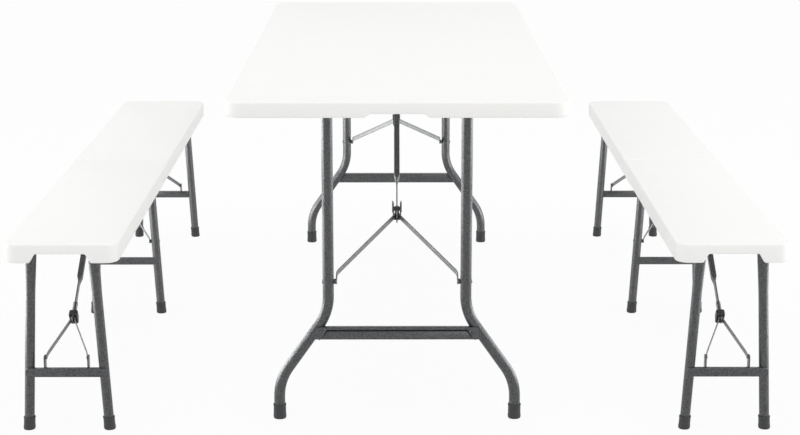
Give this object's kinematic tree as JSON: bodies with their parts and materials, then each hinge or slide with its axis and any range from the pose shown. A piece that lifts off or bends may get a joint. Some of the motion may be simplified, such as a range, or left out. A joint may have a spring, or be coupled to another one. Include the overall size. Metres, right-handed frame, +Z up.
{
  "type": "folding table with folding benches",
  "caption": "Folding table with a moulded white top on wishbone steel leg frames, with two low free-standing benches that fold in half; braced legs lock with sliding rings.",
  "frame": {"origin": "on the floor below the centre of the table, midway between the benches", "axes": "+Y along the table and benches, +X across them, +Z up"},
  "size_m": [1.706, 1.8, 0.74],
  "materials": {
    "moulded_top": "fine-grained blow-moulded polyethylene",
    "frame_steel": "grey hammered powder coat",
    "lock_ring": "dark satin coat",
    "foot_cap": "dark grey moulded"
  },
  "bodies": {
    "table_top": {"table_top": "moulded_top", "left_rail": "frame_steel", "right_rail": "frame_steel", "brace_bracket": "frame_steel"},
    "near_legs": {"near_leg_frame": "frame_steel", "near_crossbar": "frame_steel", "near_left_foot_cap": "foot_cap", "near_right_foot_cap": "foot_cap"},
    "near_arm": {"near_brace_arm": "frame_steel"},
    "near_fork": {"near_brace_fork": "frame_steel"},
    "near_ring": {"near_lock_ring": "lock_ring"},
    "far_legs": {"far_leg_frame": "frame_steel", "far_crossbar": "frame_steel", "far_left_foot_cap": "foot_cap", "far_right_foot_cap": "foot_cap"},
    "far_arm": {"far_brace_arm": "frame_steel"},
    "far_fork": {"far_brace_fork": "frame_steel"},
    "far_ring": {"far_lock_ring": "lock_ring"},
    "left_bench_far_half": {"left_bench_far_seat": "moulded_top", "left_bench_hinge_rod": "frame_steel"},
    "left_bench_near_half": {"left_bench_near_seat": "moulded_top"},
    "left_bench_near_legs": {"left_bench_near_leg_frame": "frame_steel", "left_bench_near_left_foot_cap": "foot_cap", "left_bench_near_right_foot_cap": "foot_cap"},
    "left_bench_near_arm": {"left_bench_near_brace_arm": "frame_steel"},
    "left_bench_near_fork": {"left_bench_near_brace_fork": "frame_steel"},
    "left_bench_near_ring": {"left_bench_near_lock_ring": "lock_ring"},
    "left_bench_middle_legs": {"left_bench_middle_leg_frame": "frame_steel", "left_bench_middle_left_foot_cap": "foot_cap", "left_bench_middle_right_foot_cap": "foot_cap"},
    "left_bench_middle_arm": {"left_bench_middle_brace_arm": "frame_steel"},
    "left_bench_middle_fork": {"left_bench_middle_brace_fork": "frame_steel"},
    "left_bench_middle_ring": {"left_bench_middle_lock_ring": "lock_ring"},
    "left_bench_far_legs": {"left_bench_far_leg_frame": "frame_steel", "left_bench_far_left_foot_cap": "foot_cap", "left_bench_far_right_foot_cap": "foot_cap"},
    "left_bench_far_arm": {"left_bench_far_brace_arm": "frame_steel"},
    "left_bench_far_fork": {"left_bench_far_brace_fork": "frame_steel"},
    "left_bench_far_ring": {"left_bench_far_lock_ring": "lock_ring"},
    "right_bench_far_half": {"right_bench_far_seat": "moulded_top", "right_bench_hinge_rod": "frame_steel"},
    "right_bench_near_half": {"right_bench_near_seat": "moulded_top"},
    "right_bench_near_legs": {"right_bench_near_leg_frame": "frame_steel", "right_bench_near_left_foot_cap": "foot_cap", "right_bench_near_right_foot_cap": "foot_cap"},
    "right_bench_near_arm": {"right_bench_near_brace_arm": "frame_steel"},
    "right_bench_near_fork": {"right_bench_near_brace_fork": "frame_steel"},
    "right_bench_near_ring": {"right_bench_near_lock_ring": "lock_ring"},
    "right_bench_middle_legs": {"right_bench_middle_leg_frame": "frame_steel", "right_bench_middle_left_foot_cap": "foot_cap", "right_bench_middle_right_foot_cap": "foot_cap"},
    "right_bench_middle_arm": {"right_bench_middle_brace_arm": "frame_steel"},
    "right_bench_middle_fork": {"right_bench_middle_brace_fork": "frame_steel"},
    "right_bench_middle_ring": {"right_bench_middle_lock_ring": "lock_ring"},
    "right_bench_far_legs": {"right_bench_far_leg_frame": "frame_steel", "right_bench_far_left_foot_cap": "foot_cap", "right_bench_far_right_foot_cap": "foot_cap"},
    "right_bench_far_arm": {"right_bench_far_brace_arm": "frame_steel"},
    "right_bench_far_fork": {"right_bench_far_brace_fork": "frame_steel"},
    "right_bench_far_ring": {"right_bench_far_lock_ring": "lock_ring"}
  },
  "joints": [
    {"name": "near_leg_fold", "type": "hinge", "parent": "table_top", "child": "near_legs", "pos_m": [0, -0.8, 0.71], "axis": [1, 0, 0], "range_deg": [0, 87.5]},
    {"name": "near_arm_swing", "type": "hinge", "parent": "table_top", "child": "near_arm", "pos_m": [0, -0.06, 0.716], "axis": [-1, 0, 0], "range_deg": [0, 24.4]},
    {"name": "near_knee", "type": "hinge", "parent": "near_arm", "child": "near_fork", "pos_m": [0, -0.58479, 0.43517], "axis": [1, 0, 0], "range_deg": [0, 180]},
    {"name": "near_ring_slide", "type": "slide", "parent": "near_arm", "child": "near_ring", "axis": [0, 0.8817, 0.4718], "range_m": [0, 0.088]},
    {"name": "far_leg_fold", "type": "hinge", "parent": "table_top", "child": "far_legs", "pos_m": [0, 0.8, 0.71], "axis": [-1, 0, 0], "range_deg": [0, 87.5]},
    {"name": "far_arm_swing", "type": "hinge", "parent": "table_top", "child": "far_arm", "pos_m": [0, 0.06, 0.716], "axis": [1, 0, 0], "range_deg": [0, 24.4]},
    {"name": "far_knee", "type": "hinge", "parent": "far_arm", "child": "far_fork", "pos_m": [0, 0.58479, 0.43517], "axis": [-1, 0, 0], "range_deg": [0, 180]},
    {"name": "far_ring_slide", "type": "slide", "parent": "far_arm", "child": "far_ring", "axis": [0, -0.8817, 0.4718], "range_m": [0, 0.088]},
    {"name": "left_bench_move", "type": "slide", "parent": "table_top", "child": "left_bench_far_half", "axis": [-1, 0, 0], "range_m": [-0.2, 0.4]},
    {"name": "left_bench_half_fold", "type": "hinge", "parent": "left_bench_far_half", "child": "left_bench_near_half", "pos_m": [-0.728, 0, 0.3875], "axis": [1, 0, 0], "range_deg": [0, 180]},
    {"name": "left_bench_near_leg_fold", "type": "hinge", "parent": "left_bench_near_half", "child": "left_bench_near_legs", "pos_m": [-0.728, -0.87, 0.405], "axis": [1, 0, 0], "range_deg": [0, 90]},
    {"name": "left_bench_near_arm_swing", "type": "hinge", "parent": "left_bench_near_half", "child": "left_bench_near_arm", "pos_m": [-0.728, -0.49, 0.4105], "axis": [-1, 0, 0], "range_deg": [0, 32.66]},
    {"name": "left_bench_near_knee", "type": "hinge", "parent": "left_bench_near_arm", "child": "left_bench_near_fork", "pos_m": [-0.728, -0.73683, 0.24978], "axis": [1, 0, 0], "range_deg": [0, 180]},
    {"name": "left_bench_near_ring_slide", "type": "slide", "parent": "left_bench_near_arm", "child": "left_bench_near_ring", "axis": [0, 0.838, 0.5457], "range_m": [0, 0.138]},
    {"name": "left_bench_middle_leg_fold", "type": "hinge", "parent": "left_bench_far_half", "child": "left_bench_middle_legs", "pos_m": [-0.728, 0.027, 0.405], "axis": [1, 0, 0], "range_deg": [0, 90]},
    {"name": "left_bench_middle_arm_swing", "type": "hinge", "parent": "left_bench_far_half", "child": "left_bench_middle_arm", "pos_m": [-0.728, 0.262, 0.406], "axis": [-1, 0, 0], "range_deg": [0, 39.33]},
    {"name": "left_bench_middle_knee", "type": "hinge", "parent": "left_bench_middle_arm", "child": "left_bench_middle_fork", "pos_m": [-0.728, 0.13321, 0.29311], "axis": [1, 0, 0], "range_deg": [0, 180]},
    {"name": "left_bench_middle_ring_slide", "type": "slide", "parent": "left_bench_middle_arm", "child": "left_bench_middle_ring", "axis": [0, 0.752, 0.6592], "range_m": [0, 0.1]},
    {"name": "left_bench_far_leg_fold", "type": "hinge", "parent": "left_bench_far_half", "child": "left_bench_far_legs", "pos_m": [-0.728, 0.87, 0.405], "axis": [-1, 0, 0], "range_deg": [0, 90]},
    {"name": "left_bench_far_arm_swing", "type": "hinge", "parent": "left_bench_far_half", "child": "left_bench_far_arm", "pos_m": [-0.728, 0.49, 0.4105], "axis": [1, 0, 0], "range_deg": [0, 32.66]},
    {"name": "left_bench_far_knee", "type": "hinge", "parent": "left_bench_far_arm", "child": "left_bench_far_fork", "pos_m": [-0.728, 0.73683, 0.24978], "axis": [-1, 0, 0], "range_deg": [0, 180]},
    {"name": "left_bench_far_ring_slide", "type": "slide", "parent": "left_bench_far_arm", "child": "left_bench_far_ring", "axis": [0, -0.838, 0.5457], "range_m": [0, 0.138]},
    {"name": "right_bench_move", "type": "slide", "parent": "table_top", "child": "right_bench_far_half", "axis": [1, 0, 0], "range_m": [-0.2, 0.4]},
    {"name": "right_bench_half_fold", "type": "hinge", "parent": "right_bench_far_half", "child": "right_bench_near_half", "pos_m": [0.728, 0, 0.3875], "axis": [1, 0, 0], "range_deg": [0, 180]},
    {"name": "right_bench_near_leg_fold", "type": "hinge", "parent": "right_bench_near_half", "child": "right_bench_near_legs", "pos_m": [0.728, -0.87, 0.405], "axis": [1, 0, 0], "range_deg": [0, 90]},
    {"name": "right_bench_near_arm_swing", "type": "hinge", "parent": "right_bench_near_half", "child": "right_bench_near_arm", "pos_m": [0.728, -0.49, 0.4105], "axis": [-1, 0, 0], "range_deg": [0, 32.66]},
    {"name": "right_bench_near_knee", "type": "hinge", "parent": "right_bench_near_arm", "child": "right_bench_near_fork", "pos_m": [0.728, -0.73683, 0.24978], "axis": [1, 0, 0], "range_deg": [0, 180]},
    {"name": "right_bench_near_ring_slide", "type": "slide", "parent": "right_bench_near_arm", "child": "right_bench_near_ring", "axis": [0, 0.838, 0.5457], "range_m": [0, 0.138]},
    {"name": "right_bench_middle_leg_fold", "type": "hinge", "parent": "right_bench_far_half", "child": "right_bench_middle_legs", "pos_m": [0.728, 0.027, 0.405], "axis": [1, 0, 0], "range_deg": [0, 90]},
    {"name": "right_bench_middle_arm_swing", "type": "hinge", "parent": "right_bench_far_half", "child": "right_bench_middle_arm", "pos_m": [0.728, 0.262, 0.406], "axis": [-1, 0, 0], "range_deg": [0, 39.33]},
    {"name": "right_bench_middle_knee", "type": "hinge", "parent": "right_bench_middle_arm", "child": "right_bench_middle_fork", "pos_m": [0.728, 0.13321, 0.29311], "axis": [1, 0, 0], "range_deg": [0, 180]},
    {"name": "right_bench_middle_ring_slide", "type": "slide", "parent": "right_bench_middle_arm", "child": "right_bench_middle_ring", "axis": [0, 0.752, 0.6592], "range_m": [0, 0.1]},
    {"name": "right_bench_far_leg_fold", "type": "hinge", "parent": "right_bench_far_half", "child": "right_bench_far_legs", "pos_m": [0.728, 0.87, 0.405], "axis": [-1, 0, 0], "range_deg": [0, 90]},
    {"name": "right_bench_far_arm_swing", "type": "hinge", "parent": "right_bench_far_half", "child": "right_bench_far_arm", "pos_m": [0.728, 0.49, 0.4105], "axis": [1, 0, 0], "range_deg": [0, 32.66]},
    {"name": "right_bench_far_knee", "type": "hinge", "parent": "right_bench_far_arm", "child": "right_bench_far_fork", "pos_m": [0.728, 0.73683, 0.24978], "axis": [-1, 0, 0], "range_deg": [0, 180]},
    {"name": "right_bench_far_ring_slide", "type": "slide", "parent": "right_bench_far_arm", "child": "right_bench_far_ring", "axis": [0, -0.838, 0.5457], "range_m": [0, 0.138]}
  ],
  "couplings": [
    {"joint": "near_arm_swing", "follows": "near_leg_fold", "ratio": 0.2788},
    {"joint": "near_knee", "follows": "near_leg_fold", "ratio": 2.0571},
    {"joint": "near_ring_slide", "follows": "near_leg_fold", "m_per_rad": 0.057623},
    {"joint": "far_arm_swing", "follows": "far_leg_fold", "ratio": 0.2788},
    {"joint": "far_knee", "follows": "far_leg_fold", "ratio": 2.0571},
    {"joint": "far_ring_slide", "follows": "far_leg_fold", "m_per_rad": 0.057623},
    {"joint": "left_bench_near_leg_fold", "follows": "left_bench_half_fold", "ratio": 0.5},
    {"joint": "left_bench_near_arm_swing", "follows": "left_bench_half_fold", "ratio": 0.18146},
    {"joint": "left_bench_near_knee", "follows": "left_bench_half_fold", "ratio": 1},
    {"joint": "left_bench_near_ring_slide", "follows": "left_bench_half_fold", "m_per_rad": 0.043927},
    {"joint": "left_bench_middle_leg_fold", "follows": "left_bench_half_fold", "ratio": 0.5},
    {"joint": "left_bench_middle_arm_swing", "follows": "left_bench_half_fold", "ratio": 0.21849},
    {"joint": "left_bench_middle_knee", "follows": "left_bench_half_fold", "ratio": 1},
    {"joint": "left_bench_middle_ring_slide", "follows": "left_bench_half_fold", "m_per_rad": 0.031831},
    {"joint": "left_bench_far_leg_fold", "follows": "left_bench_half_fold", "ratio": 0.5},
    {"joint": "left_bench_far_arm_swing", "follows": "left_bench_half_fold", "ratio": 0.18146},
    {"joint": "left_bench_far_knee", "follows": "left_bench_half_fold", "ratio": 1},
    {"joint": "left_bench_far_ring_slide", "follows": "left_bench_half_fold", "m_per_rad": 0.043927},
    {"joint": "right_bench_near_leg_fold", "follows": "right_bench_half_fold", "ratio": 0.5},
    {"joint": "right_bench_near_arm_swing", "follows": "right_bench_half_fold", "ratio": 0.18146},
    {"joint": "right_bench_near_knee", "follows": "right_bench_half_fold", "ratio": 1},
    {"joint": "right_bench_near_ring_slide", "follows": "right_bench_half_fold", "m_per_rad": 0.043927},
    {"joint": "right_bench_middle_leg_fold", "follows": "right_bench_half_fold", "ratio": 0.5},
    {"joint": "right_bench_middle_arm_swing", "follows": "right_bench_half_fold", "ratio": 0.21849},
    {"joint": "right_bench_middle_knee", "follows": "right_bench_half_fold", "ratio": 1},
    {"joint": "right_bench_middle_ring_slide", "follows": "right_bench_half_fold", "m_per_rad": 0.031831},
    {"joint": "right_bench_far_leg_fold", "follows": "right_bench_half_fold", "ratio": 0.5},
    {"joint": "right_bench_far_arm_swing", "follows": "right_bench_half_fold", "ratio": 0.18146},
    {"joint": "right_bench_far_knee", "follows": "right_bench_half_fold", "ratio": 1},
    {"joint": "right_bench_far_ring_slide", "follows": "right_bench_half_fold", "m_per_rad": 0.043927}
  ]
}
